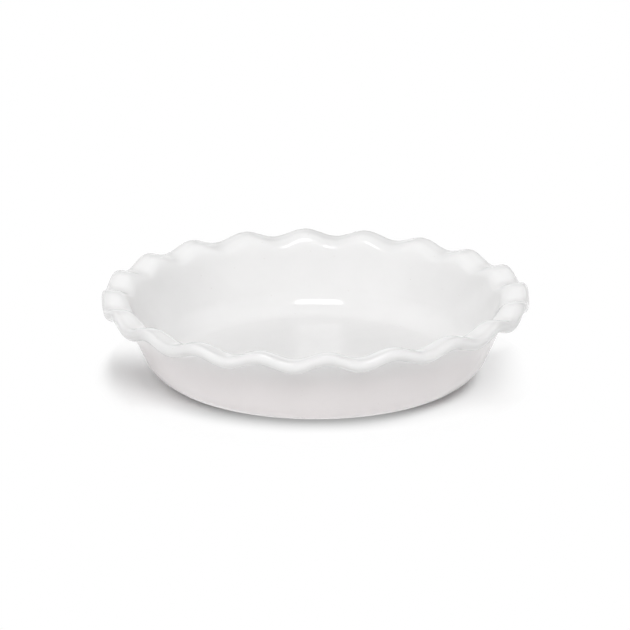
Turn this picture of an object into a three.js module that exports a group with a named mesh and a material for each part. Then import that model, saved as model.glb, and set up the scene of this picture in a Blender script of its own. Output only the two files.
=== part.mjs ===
// A round stoneware clafoutis dish with a ruffled rim flange, glazed white all over but for its foot ring.
// Millimetres, +Z up. The origin is on the table, under the middle of the dish.
import * as THREE from "three";
import { mergeGeometries } from "three/addons/utils/BufferGeometryUtils.js";

// Driving dimensions of the clay
const rimRadius = 132; // outer edge of the flange
const rimHeight = 52.3; // top face of the flange above the table, halfway between crest and trough
const flangeThickness = 6.7;
const flangeReach = 12; // from the outside wall out to the edge of the flange
const lipFillet = 9.5; // from the top of the flange into the inside wall
const collarFillet = 4.5; // from the outside wall out to the underside of the flange
const wallThickness = 4.8;
const wallLean = THREE.MathUtils.degToRad(23.3); // from upright
const heelFillet = 23.6; // from the outside wall into the underside
const floorThickness = 5.8;
const floorFillet = 22; // from the inside wall into the floor

// Driving dimensions of the ruffle
const ruffleCount = 20;
const ruffleHeight = 4.8; // crest to trough on the flange
const ruffleFade = 13; // from the root of the flange in to where the ruffle dies away on the wall
const firstCrest = THREE.MathUtils.degToRad(3.1); // from +X

// Driving dimensions of the foot ring and the glaze
const footInset = 3.4; // from the lower end of the heel's curve in to the foot ring
const footWidth = 7;
const footHeight = 1.2;
const glazeThickness = 0.5;
const glazeMargin = 1.2; // bare clay left beside the foot ring

// Fineness of the facets
const columnsPerRuffle = 8;
const heelSteps = 4;
const wallSteps = 2;
const collarSteps = 2;
const edgeSteps = 4;
const lipSteps = 3;
const floorFilletSteps = 4;

const columns = columnsPerRuffle * ruffleCount;
const leanRun = Math.tan(wallLean); // radius gained for each millimetre of height
const leanStretch = 1 / Math.cos(wallLean); // level width of a layer measured square to the wall
const flangeUnderside = rimHeight - flangeThickness;
const flangeRoot = rimRadius - flangeReach;
const floorTop = footHeight + floorThickness;

const outsideWallRadius = (height) => flangeRoot - (flangeUnderside - height) * leanRun;
const insideWallRadius = (height) => outsideWallRadius(height) - wallThickness * leanStretch;

const heelHeight = footHeight + heelFillet;
const heelRadius = outsideWallRadius(heelHeight) - heelFillet * leanStretch;
const footRadius = heelRadius - footInset;
const footInnerRadius = footRadius - footWidth;
const coatStartRadius = footRadius + glazeMargin;
const baseGlazeRadius = footInnerRadius - glazeMargin;

// The points of an arc about a centre, both ends included.
function arc(centre, radius, start, end, steps) {
  const clockwise = end < start;
  return new THREE.ArcCurve(centre.x, centre.y, radius, start, end, clockwise).getPoints(steps);
}

// A wall's points between the ends of the arcs below and above it, both ends left out.
function between(from, to) {
  return new THREE.LineCurve(from, to).getPoints(wallSteps).slice(1, -1);
}

// The dish in section from its heel over the rim to the middle of the floor, as (radius, height) points.
// The skin is the depth of glaze on the clay: round corners grow by it and hollow ones shrink.
function section(skin) {
  const down = -Math.PI / 2;
  const up = Math.PI / 2;
  const outward = -wallLean;
  const inward = Math.PI - wallLean;

  const heelCentre = new THREE.Vector2(heelRadius, heelHeight);
  const heel = arc(heelCentre, heelFillet + skin, down, outward, heelSteps);

  const collarHeight = flangeUnderside - collarFillet;
  const collarRadius = outsideWallRadius(collarHeight) + collarFillet * leanStretch;
  const collarCentre = new THREE.Vector2(collarRadius, collarHeight);
  const collar = arc(collarCentre, collarFillet - skin, inward, up, collarSteps);

  const edgeFillet = flangeThickness / 2;
  const edgeCentre = new THREE.Vector2(rimRadius - edgeFillet, rimHeight - edgeFillet);
  const edge = arc(edgeCentre, edgeFillet + skin, down, up, edgeSteps);

  const lipHeight = rimHeight - lipFillet;
  const lipRadius = insideWallRadius(lipHeight) + lipFillet * leanStretch;
  const lipCentre = new THREE.Vector2(lipRadius, lipHeight);
  const lip = arc(lipCentre, lipFillet + skin, up, inward, lipSteps);

  const hollowHeight = floorTop + floorFillet;
  const hollowRadius = insideWallRadius(hollowHeight) - floorFillet * leanStretch;
  const hollowCentre = new THREE.Vector2(hollowRadius, hollowHeight);
  const hollow = arc(hollowCentre, floorFillet - skin, outward, down, floorFilletSteps);

  return [
    ...heel,
    ...between(heel.at(-1), collar[0]),
    ...collar,
    ...edge,
    ...lip,
    ...between(lip.at(-1), hollow[0]),
    ...hollow,
    new THREE.Vector2(0, floorTop + skin),
  ];
}

// The underside of the clay from the axis out to where the outside glaze starts, foot ring included.
function undersideSection() {
  return [
    new THREE.Vector2(0, footHeight),
    new THREE.Vector2(baseGlazeRadius, footHeight),
    new THREE.Vector2(footInnerRadius, footHeight),
    new THREE.Vector2(footInnerRadius, 0),
    new THREE.Vector2(footRadius, 0),
    new THREE.Vector2(footRadius, footHeight),
    new THREE.Vector2(coatStartRadius, footHeight),
  ];
}

// How much of the ruffle a point has: none on the plain wall, all on the flange.
function ruffleShare(radius) {
  return THREE.MathUtils.smoothstep(radius, flangeRoot - ruffleFade, flangeRoot);
}

// Moves a point of the plain dish to its place in the ruffled one.
// The flange rises and falls, and the wall slides along its own slope, so that it stays a plain cone.
function ruffle(point) {
  const radius = Math.hypot(point.x, point.y);
  const wave = Math.cos(ruffleCount * (Math.atan2(point.y, point.x) - firstCrest));
  const rise = (ruffleHeight / 2) * wave * ruffleShare(radius);
  const outOnFlange = THREE.MathUtils.smoothstep(radius, flangeRoot, rimRadius);
  const slide = rise * leanRun * (1 - outOnFlange);
  point.x *= 1 + slide / radius;
  point.y *= 1 + slide / radius;
  point.z += rise;
}

// Turns a section about the dish's axis and ruffles it.
// Below the ruffle every second column is drawn onto its neighbour: the plain cone needs fewer facets.
function turned(outline) {
  const lathe = new THREE.LatheGeometry(outline, columns, firstCrest + Math.PI / 2);
  lathe.rotateX(Math.PI / 2);
  const position = lathe.getAttribute("position");
  const point = new THREE.Vector3();
  for (let column = 0; column <= columns; column += 1) {
    const place = column % columns;
    outline.forEach(({ x: radius }, row) => {
      const ruffled = ruffleShare(radius) > 0;
      const source = ruffled ? place : place - (place % 2);
      point.fromBufferAttribute(position, source * outline.length + row);
      if (ruffled && column < columns) ruffle(point);
      position.setXYZ(column * outline.length + row, ...point);
    });
  }
  return lathe;
}

// A layer of glaze, closed between its open face and the clay face that it is fused to.
function coat(openOutline, clayOutline) {
  const back = turned(clayOutline);
  back.index.array.reverse();
  return mergeGeometries([turned(openOutline), back]);
}

function named(name, geometry, material) {
  const mesh = new THREE.Mesh(geometry, material);
  mesh.name = name;
  return mesh;
}

const bareClay = new THREE.MeshStandardMaterial({ color: 0xd9d2c4, roughness: 0.85, metalness: 0 });
const whiteGlaze = new THREE.MeshStandardMaterial({ color: 0xf3f1ef, roughness: 0.12, metalness: 0 });

const claySection = section(0);
const coatStart = new THREE.Vector2(coatStartRadius, footHeight);
const coatStartFace = new THREE.Vector2(coatStartRadius, footHeight - glazeThickness);
const baseMiddle = new THREE.Vector2(0, footHeight);
const baseMiddleFace = new THREE.Vector2(0, footHeight - glazeThickness);
const baseEdge = new THREE.Vector2(baseGlazeRadius, footHeight);
const baseEdgeFace = new THREE.Vector2(baseGlazeRadius, footHeight - glazeThickness);

const body = turned([...undersideSection(), ...claySection]);
const coatFace = [coatStart, coatStartFace, ...section(glazeThickness)];
const mainCoat = coat(coatFace, [coatStart, ...claySection]);
const baseCoat = coat([baseMiddleFace, baseEdgeFace, baseEdge], [baseMiddle, baseEdge]);

const dish = new THREE.Group();
dish.add(named("stoneware_body", body, bareClay));
dish.add(named("glaze_coat", mainCoat, whiteGlaze));
dish.add(named("base_glaze", baseCoat, whiteGlaze));

export default dish;
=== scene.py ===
"""A round stoneware clafoutis dish with a ruffled rim, glazed white but for its foot ring.

Metres, +Z up, in the frame of the solids: the origin is on the table, under the middle of the dish.
"""

import functools
import math

import bpy
import numpy as np
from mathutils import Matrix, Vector


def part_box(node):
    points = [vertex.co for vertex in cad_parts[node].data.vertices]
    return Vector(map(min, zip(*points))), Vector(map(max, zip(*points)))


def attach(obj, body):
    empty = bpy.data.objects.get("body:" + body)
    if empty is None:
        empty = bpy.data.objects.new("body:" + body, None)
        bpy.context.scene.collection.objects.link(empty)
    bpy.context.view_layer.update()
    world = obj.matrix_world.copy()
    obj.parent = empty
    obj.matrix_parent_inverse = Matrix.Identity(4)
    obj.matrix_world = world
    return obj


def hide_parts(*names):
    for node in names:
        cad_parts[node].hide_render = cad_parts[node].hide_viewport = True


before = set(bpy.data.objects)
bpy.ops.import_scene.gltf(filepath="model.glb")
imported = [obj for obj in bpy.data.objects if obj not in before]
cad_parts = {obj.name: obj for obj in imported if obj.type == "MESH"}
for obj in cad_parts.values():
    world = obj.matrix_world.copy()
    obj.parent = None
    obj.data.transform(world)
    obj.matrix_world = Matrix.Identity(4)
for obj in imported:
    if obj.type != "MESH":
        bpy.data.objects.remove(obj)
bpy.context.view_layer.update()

MM = 0.001

# Directions in section, as angles
FROM_AXIS = 0
UP = math.pi / 2
DOWN = -math.pi / 2
TOWARD_AXIS = -math.pi

# Sizes read from the solids
base_glaze_low, base_glaze_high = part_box("base_glaze")
GLAZE = base_glaze_high.z - base_glaze_low.z
FOOT_HEIGHT = base_glaze_high.z
BASE_GLAZE_RADIUS = base_glaze_high.x
RIM_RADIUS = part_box("stoneware_body")[1].x

# Sizes of the clay
RIM_HEIGHT = 52.3 * MM
FLANGE_THICKNESS = 6.7 * MM
FLANGE_REACH = 12 * MM
EDGE_ROUNDING = 2.8 * MM
LIP_FILLET = 9.5 * MM
COLLAR_FILLET = 4.5 * MM
WALL_THICKNESS = 4.8 * MM
WALL_LEAN = math.radians(23.3)
HEEL_FILLET = 23.6 * MM
FLOOR_THICKNESS = 5.8 * MM
FLOOR_FILLET = 22 * MM
FOOT_WIDTH = 7 * MM
FOOT_ROUNDING = 0.5 * MM
GLAZE_MARGIN = 1.2 * MM

# The ruffle, the slight hollow of the flange, and the warp that the rim took in the kiln
RUFFLES = 20
RUFFLE_HEIGHT = 4.8 * MM
RUFFLE_FADE = 13 * MM
FIRST_CREST = math.radians(3.1)
FLANGE_HOLLOW = 1 * MM
RIM_TILT = 0.2 * MM
RIM_SADDLE = 0.45 * MM

LEAN_RUN = math.tan(WALL_LEAN)
LEAN_STRETCH = 1 / math.cos(WALL_LEAN)
FLANGE_UNDERSIDE = RIM_HEIGHT - FLANGE_THICKNESS
FLANGE_ROOT = RIM_RADIUS - FLANGE_REACH
FLOOR_TOP = FOOT_HEIGHT + FLOOR_THICKNESS
FOOT_INNER_RADIUS = BASE_GLAZE_RADIUS + GLAZE_MARGIN
FOOT_RADIUS = FOOT_INNER_RADIUS + FOOT_WIDTH
COAT_START_RADIUS = FOOT_RADIUS + GLAZE_MARGIN

# Fineness of the meshes
COLUMNS_PER_RUFFLE = 18
COLUMNS = COLUMNS_PER_RUFFLE * RUFFLES
ROUND_STEPS = 12
SMALL_ROUND_STEPS = 4
STRAIGHT_STEPS = 5
WELD_REACH = 0.001 * MM

# Most of a noise's values lie between these
NOISE_RANGE = (0.3, 0.7)


def outside_wall(height):
    return FLANGE_ROOT - (FLANGE_UNDERSIDE - height) * LEAN_RUN


def inside_wall(height):
    return outside_wall(height) - WALL_THICKNESS * LEAN_STRETCH


def arc(radius_at, height, radius, start, end, steps=ROUND_STEPS):
    """The points of an arc in section, both ends included, about a centre at that radius and height."""
    angles = np.linspace(start, end, steps + 1)
    return np.stack([radius_at + radius * np.cos(angles), height + radius * np.sin(angles)], axis=1)


def straight(start, end):
    """The points between two ends in section, both left out."""
    share = np.linspace(0, 1, STRAIGHT_STEPS + 1)[1:-1, None]
    return start + (end - start) * share


def dish_section(skin):
    """The dish in section from its heel over the rim to the middle of the floor, under that much glaze."""
    wall_outward = -WALL_LEAN
    wall_inward = math.pi - WALL_LEAN

    heel_height = FOOT_HEIGHT + HEEL_FILLET
    heel_radius = outside_wall(heel_height) - HEEL_FILLET * LEAN_STRETCH
    heel = arc(heel_radius, heel_height, HEEL_FILLET + skin, DOWN, wall_outward)

    collar_height = FLANGE_UNDERSIDE - COLLAR_FILLET
    collar_radius = outside_wall(collar_height) + COLLAR_FILLET * LEAN_STRETCH
    collar = arc(collar_radius, collar_height, COLLAR_FILLET - skin, wall_inward, UP)

    # The edge is rounded tightly above, and below by the rest of the flange's thickness
    edge_height = RIM_HEIGHT - EDGE_ROUNDING
    under_rounding = FLANGE_THICKNESS - EDGE_ROUNDING
    under_edge = arc(RIM_RADIUS - under_rounding, edge_height, under_rounding + skin, DOWN, FROM_AXIS)
    upper_edge = arc(RIM_RADIUS - EDGE_ROUNDING, edge_height, EDGE_ROUNDING + skin, FROM_AXIS, UP)
    edge = np.concatenate([under_edge, upper_edge[1:]])

    lip_height = RIM_HEIGHT - LIP_FILLET
    lip_radius = inside_wall(lip_height) + LIP_FILLET * LEAN_STRETCH
    lip = arc(lip_radius, lip_height, LIP_FILLET + skin, UP, wall_inward)

    hollow_height = FLOOR_TOP + FLOOR_FILLET
    hollow_radius = inside_wall(hollow_height) - FLOOR_FILLET * LEAN_STRETCH
    hollow = arc(hollow_radius, hollow_height, FLOOR_FILLET - skin, wall_outward, DOWN)

    middle = np.array([[0.0, FLOOR_TOP + skin]])
    runs = [heel, collar, edge, lip, hollow, middle]
    joined = [heel]
    for before, after in zip(runs, runs[1:]):
        joined += [straight(before[-1], after[0]), after]
    return np.concatenate(joined)


def foot_section():
    """The underside of the clay from the axis out to where the outside glaze starts, foot ring included."""
    inner_middle = FOOT_INNER_RADIUS + FOOT_ROUNDING
    inner_edge = arc(inner_middle, FOOT_ROUNDING, FOOT_ROUNDING, TOWARD_AXIS, DOWN, SMALL_ROUND_STEPS)
    outer_middle = FOOT_RADIUS - FOOT_ROUNDING
    outer_edge = arc(outer_middle, FOOT_ROUNDING, FOOT_ROUNDING, DOWN, FROM_AXIS, SMALL_ROUND_STEPS)
    middle = np.array([[0.0, FOOT_HEIGHT]])
    corner = np.array([[FOOT_INNER_RADIUS, FOOT_HEIGHT]])
    coat_start = np.array([[FOOT_RADIUS, FOOT_HEIGHT], [COAT_START_RADIUS, FOOT_HEIGHT]])
    base = straight(middle[0], corner[0])
    face = straight(inner_edge[-1], outer_edge[0])
    return np.concatenate([middle, base, corner, inner_edge, face, outer_edge, coat_start])


def smooth_step(value, start, end):
    """0 up to the start, 1 from the end on, and a smooth change between them."""
    share = np.clip((value - start) / (end - start), 0, 1)
    return share * share * (3 - 2 * share)


def ruffled(radius, height, angle):
    """The points of the plain dish moved to their places in the ruffled, hollowed and warped one.

    The flange rises and falls, and the wall slides along its own slope, so that it stays a plain cone.
    """
    wave = np.cos(RUFFLES * (angle - FIRST_CREST))
    share = smooth_step(radius, FLANGE_ROOT - RUFFLE_FADE, FLANGE_ROOT)
    inner_flange = 1 - smooth_step(radius, FLANGE_ROOT, RIM_RADIUS)
    rise = (RUFFLE_HEIGHT / 2 * wave - FLANGE_HOLLOW * inner_flange) * share
    radius = radius + rise * LEAN_RUN * inner_flange
    warp = RIM_TILT * np.cos(angle) - RIM_SADDLE * np.sin(2 * angle)
    height = height + rise + warp * share
    return np.stack([radius * np.cos(angle), radius * np.sin(angle), height], axis=-1)


def turned(outline):
    """Vertices and outward faces of a section turned about the axis. A point on the axis is one vertex."""
    angles = FIRST_CREST + np.arange(COLUMNS) * (2 * math.pi / COLUMNS)
    vertices = []
    rings = []
    for radius, height in outline:
        start = len(vertices)
        if radius == 0:
            vertices.append((0.0, 0.0, height))
            rings.append(np.full(COLUMNS, start))
        else:
            ring = ruffled(np.full(COLUMNS, radius), np.full(COLUMNS, height), angles)
            vertices.extend(ring.tolist())
            rings.append(start + np.arange(COLUMNS))
    faces = []
    for lower, upper in zip(rings, rings[1:]):
        for corners in zip(lower, np.roll(lower, -1), np.roll(upper, -1), upper):
            faces.append(tuple(int(corner) for corner in dict.fromkeys(corners)))
    return vertices, faces


def piece(name, skins, material, node):
    """A mesh from turned sections, closed where they meet, that stands for a node of the solids."""
    vertices, faces = [], []
    for outline, flipped in skins:
        points, sides = turned(outline)
        shift = len(vertices)
        vertices += points
        faces += [tuple(shift + i for i in (side[::-1] if flipped else side)) for side in sides]
    mesh = bpy.data.meshes.new(name)
    mesh.from_pydata(vertices, [], faces)
    mesh.shade_smooth()
    mesh.materials.append(material)
    made = bpy.data.objects.new(name, mesh)
    bpy.context.collection.objects.link(made)
    weld = made.modifiers.new("weld", "WELD")
    weld.merge_threshold = WELD_REACH
    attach(made, "root")
    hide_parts(node)


def add_node(tree, kind, inputs=None, **settings):
    """Adds a shader node. An input takes a value or the socket that feeds it."""
    made = tree.nodes.new("ShaderNode" + kind)
    for name, value in settings.items():
        setattr(made, name, value)
    for name, value in (inputs or {}).items():
        if isinstance(value, bpy.types.NodeSocket):
            tree.links.new(value, made.inputs[name])
        else:
            made.inputs[name].default_value = value
    return made


def math_node(tree, operation, *values):
    return add_node(tree, "Math", dict(enumerate(values)), operation=operation).outputs[0]


def product(tree, *values):
    return functools.reduce(functools.partial(math_node, tree, "MULTIPLY"), values)


def largest(tree, *values):
    return functools.reduce(functools.partial(math_node, tree, "MAXIMUM"), values)


def axes(tree, vector):
    """The sockets X, Y and Z of a vector."""
    return add_node(tree, "SeparateXYZ", {"Vector": vector}).outputs


def scaled(tree, vector, factors):
    return add_node(tree, "VectorMath", {0: vector, 1: factors}, operation="MULTIPLY").outputs[0]


def level(tree, vector):
    """A vector without its height."""
    return scaled(tree, vector, (1, 1, 0))


def length(tree, vector):
    return add_node(tree, "VectorMath", {0: vector}, operation="LENGTH").outputs["Value"]


def ramp(tree, value, span, before=0.0, after=1.0):
    """Goes smoothly from one level to another while the value crosses the span."""
    start, end = span
    limits = {"Value": value, "From Min": start, "From Max": end, "To Min": before, "To Max": after}
    return add_node(tree, "MapRange", limits, interpolation_type="SMOOTHSTEP").outputs["Result"]


def fall(tree, value, span):
    """Goes smoothly from 1 to 0 while the value crosses the span."""
    return ramp(tree, value, span, 1.0, 0.0)


def noise(tree, place, size, detail=2.0):
    """Noise whose features are about that size."""
    inputs = {"Vector": place, "Scale": 1 / size, "Detail": detail}
    return add_node(tree, "TexNoise", inputs).outputs["Fac"]


def blend(tree, share, first, second):
    """A colour from the first to the second as the share goes from 0 to 1."""
    factor, colour_a, colour_b, result = 0, 6, 7, 2
    inputs = {factor: share, colour_a: first, colour_b: second}
    return add_node(tree, "Mix", inputs, data_type="RGBA").outputs[result]


def spots(tree, place, spacing, radius, kept):
    """Round spots of that radius at random places: 1 in a spot and 0 outside. Only that share is kept."""
    core = 0.6 * radius
    cells = add_node(tree, "TexVoronoi", {"Vector": place, "Scale": 1 / spacing})
    inside = fall(tree, cells.outputs["Distance"], (core / spacing, radius / spacing))
    pick = add_node(tree, "SeparateColor", {"Color": cells.outputs["Color"]}).outputs["Red"]
    return product(tree, inside, math_node(tree, "LESS_THAN", pick, kept))


def bump(tree, height, depth, under=None):
    """Raises a surface by the height times the depth, on top of another bump."""
    inputs = {"Height": height, "Distance": depth, "Strength": 1.0}
    if under:
        inputs["Normal"] = under
    return add_node(tree, "Bump", inputs).outputs["Normal"]


def pit(tree, height, depth, under):
    """Sinks a surface by the height times the depth, on top of another bump."""
    return bump(tree, math_node(tree, "MULTIPLY", height, -1), depth, under)


def new_material(name):
    """A material with its tree, its shader and the place on its surface."""
    material = bpy.data.materials.new(name)
    material.use_nodes = True
    tree = material.node_tree
    place = add_node(tree, "TexCoord").outputs["Object"]
    return material, tree, tree.nodes["Principled BSDF"], place


def glaze_material():
    """White gloss glaze: faintly clouded, painted whiter on the flange as light on the rim, warmer outside,
    with a few pinholes.
    """
    dull_white = (0.848, 0.844, 0.842, 1)
    clear_white = (0.86, 0.856, 0.854, 1)
    warm_white = (0.872, 0.838, 0.838, 1)
    flange_painted_light_white = (0.93, 0.928, 0.926, 1)
    pinhole_brown = (0.58, 0.52, 0.46, 1)
    glossy, less_glossy = 0.05, 0.11
    under_flange = (FLANGE_UNDERSIDE - 6 * MM, FLANGE_UNDERSIDE)
    turn_outward = (0, 20 * MM)
    onto_flange = (FLANGE_ROOT - 8 * MM, FLANGE_ROOT + 2 * MM)
    onto_edge = (RIM_RADIUS - 6 * MM, RIM_RADIUS - 2 * MM)

    material, tree, shader, place = new_material("white_glaze")
    clouds = ramp(tree, noise(tree, place, size=16 * MM, detail=3), NOISE_RANGE)
    colour = blend(tree, clouds, dull_white, clear_white)

    outward = level(tree, place)
    normal = add_node(tree, "NewGeometry").outputs["Normal"]
    facing = add_node(tree, "VectorMath", {0: normal, 1: outward}, operation="DOT_PRODUCT").outputs["Value"]
    below = fall(tree, axes(tree, place)["Z"], under_flange)
    outside = product(tree, ramp(tree, facing, turn_outward), below)
    colour = blend(tree, outside, colour, warm_white)

    # Painted light: the lip and the inner flange are painted whiter, standing in for more light on the
    # rim's top
    radius = length(tree, outward)
    flange = product(tree, ramp(tree, radius, onto_flange), fall(tree, radius, onto_edge))
    colour = blend(tree, flange, colour, flange_painted_light_white)

    pinholes = spots(tree, place, spacing=5 * MM, radius=0.22 * MM, kept=0.5)
    colour = blend(tree, pinholes, colour, pinhole_brown)
    tree.links.new(colour, shader.inputs["Base Color"])

    smears = noise(tree, place, size=9 * MM, detail=3)
    roughness = ramp(tree, smears, NOISE_RANGE, glossy, less_glossy)
    tree.links.new(roughness, shader.inputs["Roughness"])

    waves = bump(tree, noise(tree, place, size=20 * MM, detail=1), depth=0.16 * MM)
    peel = bump(tree, noise(tree, place, size=1.6 * MM, detail=1), depth=0.02 * MM, under=waves)
    holes = pit(tree, pinholes, depth=0.05 * MM, under=peel)
    tree.links.new(holes, shader.inputs["Normal"])
    return material


def clay_material():
    """Bare fired stoneware: grainy, toasted in patches, specked, pitted, and rubbed grey at the foot."""
    dark_grain = (0.63, 0.575, 0.495, 1)
    pale_grain = (0.745, 0.695, 0.615, 1)
    toast_brown = (0.66, 0.55, 0.42, 1)
    speck_brown = (0.3, 0.22, 0.16, 1)
    rubbed_grey = (0.5, 0.465, 0.42, 1)
    matt, rubbed_smooth = 0.92, 0.68
    toasted_range, most_toasted = (0.45, 0.7), 0.45
    scuffed_range, least_scuffed, most_scuffed = (0.35, 0.65), 0.25, 0.8
    off_table = (0.02 * MM, 0.25 * MM)

    material, tree, shader, place = new_material("bare_clay")
    grain = ramp(tree, noise(tree, place, size=0.9 * MM, detail=4), NOISE_RANGE)
    colour = blend(tree, grain, dark_grain, pale_grain)
    toasted = ramp(tree, noise(tree, place, size=14 * MM), toasted_range, after=most_toasted)
    colour = blend(tree, toasted, colour, toast_brown)
    specks = spots(tree, place, spacing=1.5 * MM, radius=0.2 * MM, kept=0.35)
    colour = blend(tree, specks, colour, speck_brown)

    standing = fall(tree, axes(tree, place)["Z"], off_table)
    scuffing = noise(tree, place, size=2.5 * MM, detail=3)
    scuffs = ramp(tree, scuffing, scuffed_range, least_scuffed, most_scuffed)
    rubbed = product(tree, standing, scuffs)
    colour = blend(tree, rubbed, colour, rubbed_grey)
    tree.links.new(colour, shader.inputs["Base Color"])
    roughness = ramp(tree, rubbed, (0, 1), matt, rubbed_smooth)
    tree.links.new(roughness, shader.inputs["Roughness"])

    rough = bump(tree, noise(tree, place, size=0.5 * MM, detail=3), depth=0.09 * MM)
    pits = spots(tree, place, spacing=1.1 * MM, radius=0.3 * MM, kept=0.6)
    pitted = pit(tree, pits, depth=0.1 * MM, under=rough)
    tree.links.new(pitted, shader.inputs["Normal"])
    return material


def dish():
    glaze = glaze_material()
    clay = clay_material()

    clay_face = dish_section(0)
    clay_skin = np.concatenate([foot_section(), clay_face])
    piece("clay_pressing", [(clay_skin, False)], clay, "stoneware_body")

    coat_start = np.array([[COAT_START_RADIUS, FOOT_HEIGHT]])
    coat_edge = arc(COAT_START_RADIUS + GLAZE, FOOT_HEIGHT, GLAZE, TOWARD_AXIS, DOWN, SMALL_ROUND_STEPS)
    coat_face = np.concatenate([coat_edge, dish_section(GLAZE)])
    coat_back = np.concatenate([coat_start, clay_face])
    piece("glaze_layer", [(coat_face, False), (coat_back, True)], glaze, "glaze_coat")

    base_edge = arc(BASE_GLAZE_RADIUS - GLAZE, FOOT_HEIGHT, GLAZE, DOWN, FROM_AXIS, SMALL_ROUND_STEPS)
    middle = np.array([[0.0, FOOT_HEIGHT]])
    base_middle = np.array([[0.0, FOOT_HEIGHT - GLAZE]])
    base_face = np.concatenate([base_middle, straight(base_middle[0], base_edge[0]), base_edge])
    base_back = np.concatenate([middle, straight(middle[0], base_edge[-1]), base_edge[-1:]])
    piece("base_glaze_layer", [(base_face, False), (base_back, True)], glaze, "base_glaze")


def camera():
    """Looks down at the dish as the photograph does, which shows it below the middle of the picture."""
    elevation = math.radians(19.19)
    distance = 1.7415
    aim = Vector((0, 0, 0.7 * MM))
    data = bpy.data.cameras.new("camera")
    data.sensor_width = 36
    data.lens = 158.7
    data.shift_x = -0.0007
    data.shift_y = 0.0871
    made = bpy.data.objects.new("camera", data)
    bpy.context.collection.objects.link(made)
    made.location = aim + distance * Vector((0, -math.cos(elevation), math.sin(elevation)))
    made.rotation_euler = (aim - made.location).to_track_quat("-Z", "Y").to_euler()
    bpy.context.scene.camera = made


def area_lamp(name, azimuth, elevation, distance, size, power):
    """A softbox aimed at the dish. Its azimuth goes from the camera's side round to the right."""
    data = bpy.data.lights.new(name, "AREA")
    data.shape = "RECTANGLE"
    data.size, data.size_y = size
    data.energy = power
    lamp = bpy.data.objects.new(name, data)
    bpy.context.collection.objects.link(lamp)
    turn = math.radians(azimuth)
    rise = math.radians(elevation)
    reach = distance * math.cos(rise)
    lamp.location = (reach * math.sin(turn), -reach * math.cos(turn), distance * math.sin(rise))
    aim = Vector((0, 0, 30 * MM))
    lamp.rotation_euler = (aim - lamp.location).to_track_quat("-Z", "Y").to_euler()
    return lamp


def lamps():
    """Softboxes all round light the dish without a mirror image in the glaze.

    One more, almost overhead, gives no light but shows in the glaze as its streaks.
    """
    far, overhead, above, near = 1.6, 1.3, 0.6, 0.3
    panel, wide, low_strip = (0.8, 0.6), (1.0, 0.8), (1.6, 0.6)
    small, streak = (0.12, 0.12), (0.45, 0.42)

    # Name, azimuth and elevation in degrees, distance and size in metres, power in watts
    softboxes = (
        ("front", 0, 48, far, panel, 13.5),
        ("front_low", 0, 36, far, low_strip, 3.8),
        ("front_left", -60, 36, far, panel, 3.2),
        ("front_right", 60, 36, far, panel, 1.4),
        ("left", -90, 15, far, wide, 3.6),
        ("right", 90, 15, far, wide, 5.0),
        ("back_left", -135, 15, far, wide, 2.8),
        ("back_rim", 180, 57, above, small, 0.5),
        ("left_rim", -90, 57, near, small, 0.05),
        ("right_rim", 90, 57, near, small, 0.04),
    )
    for softbox in softboxes:
        area_lamp(*softbox).visible_glossy = False
    area_lamp("streak", -5.4, 76, overhead, streak, 4).visible_diffuse = False


def seen(tree):
    """1 for the rays that show the surroundings to the camera, straight, mirrored or through glass."""
    path = add_node(tree, "LightPath").outputs
    return largest(tree, path["Is Camera Ray"], path["Is Glossy Ray"], path["Is Transmission Ray"])


def mirrored(tree):
    """1 for the rays that show the surroundings in the glaze."""
    return add_node(tree, "LightPath").outputs["Is Glossy Ray"]


def surroundings():
    """White where they are seen. In the glaze they are dimmer low at both sides and up behind the dish."""
    side_dimming, left_dimming, right_dimming = 0.75, 0.2, 0.5
    # Spans of the parts of a unit vector that points at the surroundings
    above_low, above_backdrop, up_to_softbox = (0.3, 0.55), (0.24, 0.38), (0.6, 0.8)
    to_the_sides, left_to_right = (0.55, 0.85), (-0.3, 0.3)
    past_front, to_the_back = (-0.5, -0.2), (0.2, 0.5)

    world = bpy.data.worlds.new("studio")
    bpy.context.scene.world = world
    world.use_nodes = True
    tree = world.node_tree
    toward = axes(tree, add_node(tree, "TexCoord").outputs["Generated"])

    low = fall(tree, toward["Z"], above_low)
    beside = ramp(tree, math_node(tree, "ABSOLUTE", toward["X"]), to_the_sides, after=side_dimming)
    not_in_front = ramp(tree, toward["Y"], past_front)
    sides = product(tree, low, beside, not_in_front)

    raised = ramp(tree, toward["Z"], above_backdrop)
    under_softbox = fall(tree, toward["Z"], up_to_softbox)
    behind = ramp(tree, toward["Y"], to_the_back)
    across = ramp(tree, toward["X"], left_to_right, left_dimming, right_dimming)
    back = product(tree, raised, under_softbox, behind, across)

    dimming = product(tree, mirrored(tree), largest(tree, sides, back))
    strength = product(tree, seen(tree), math_node(tree, "SUBTRACT", 1, dimming))
    background = tree.nodes["Background"]
    background.inputs["Color"].default_value = (1, 1, 1, 1)
    tree.links.new(strength, background.inputs["Strength"])


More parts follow.
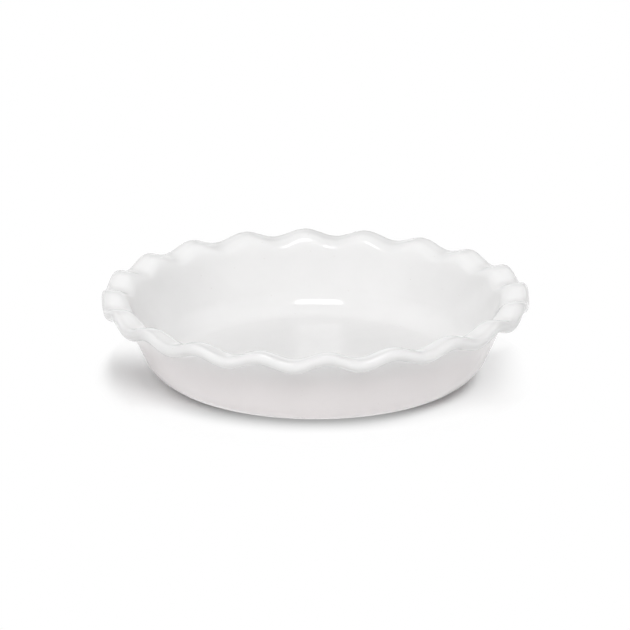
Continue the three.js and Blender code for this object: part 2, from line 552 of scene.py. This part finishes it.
def ground():
    """A pale floor that turns white away from the dish, with a shadow graded as the photograph's is.

    The grading shows only where the floor is seen or mirrored. The light that it throws back stays plain.
    """
    pale = (0.95, 0.95, 0.95, 1)
    half_width = 4

    # Spans of radius
    past_contact = (94 * MM, 106 * MM)
    past_shadow = (122 * MM, 139 * MM)
    front_shadow = (80 * MM, 114.5 * MM)

    # Spans along X and Y
    right_side = (20 * MM, 70 * MM)
    right_end = (104 * MM, 136 * MM)
    to_the_back = (-10 * MM, 55 * MM)
    past_front = (-85 * MM, -50 * MM)
    past_mirrored = (-75 * MM, -35 * MM)

    # Shares of white in the shadow, and the look of its part in front
    least_white, back_white = 0.06, 0.95
    right_side_white, right_end_white = 0.6, 0.4
    front_share = 0.9
    contact_brightness = 0.3
    front_oval = (0.9, 1, 0)

    mesh = bpy.data.meshes.new("floor")
    corners = [(x * half_width, y * half_width, 0) for x, y in ((-1, -1), (1, -1), (1, 1), (-1, 1))]
    mesh.from_pydata(corners, [], [(0, 1, 2, 3)])
    floor = bpy.data.objects.new("floor", mesh)
    bpy.context.collection.objects.link(floor)

    material, tree, shader, place = new_material("floor")
    mesh.materials.append(material)
    shader.inputs["Base Color"].default_value = pale
    shader.inputs["Roughness"].default_value = 1
    along = axes(tree, place)
    radius = length(tree, level(tree, place))

    side = ramp(tree, along["X"], right_side, after=right_side_white)
    end = ramp(tree, along["X"], right_end, after=right_end_white)
    right = math_node(tree, "ADD", side, end)
    behind = ramp(tree, along["Y"], to_the_back, least_white, back_white)
    beside = product(tree, largest(tree, right, behind), ramp(tree, radius, past_contact))
    away = ramp(tree, radius, past_shadow)
    in_glaze = product(tree, mirrored(tree), fall(tree, along["Y"], past_mirrored))
    paler = largest(tree, beside, away, in_glaze)
    white = add_node(tree, "Emission")

    front = ramp(tree, along["Y"], past_front, front_share, 0)
    from_middle = length(tree, scaled(tree, place, front_oval))
    brightness = ramp(tree, from_middle, front_shadow, contact_brightness)
    shade = add_node(tree, "Emission", {"Strength": brightness})

    surface = shader.outputs[0]
    for glow, share in ((shade, front), (white, paler)):
        shown = product(tree, share, seen(tree))
        surface = add_node(tree, "MixShader", {0: shown, 1: surface, 2: glow.outputs[0]}).outputs[0]
    tree.links.new(surface, tree.nodes["Material Output"].inputs["Surface"])


dish()
camera()
lamps()
surroundings()
ground()
bpy.context.scene.view_settings.view_transform = "Standard"
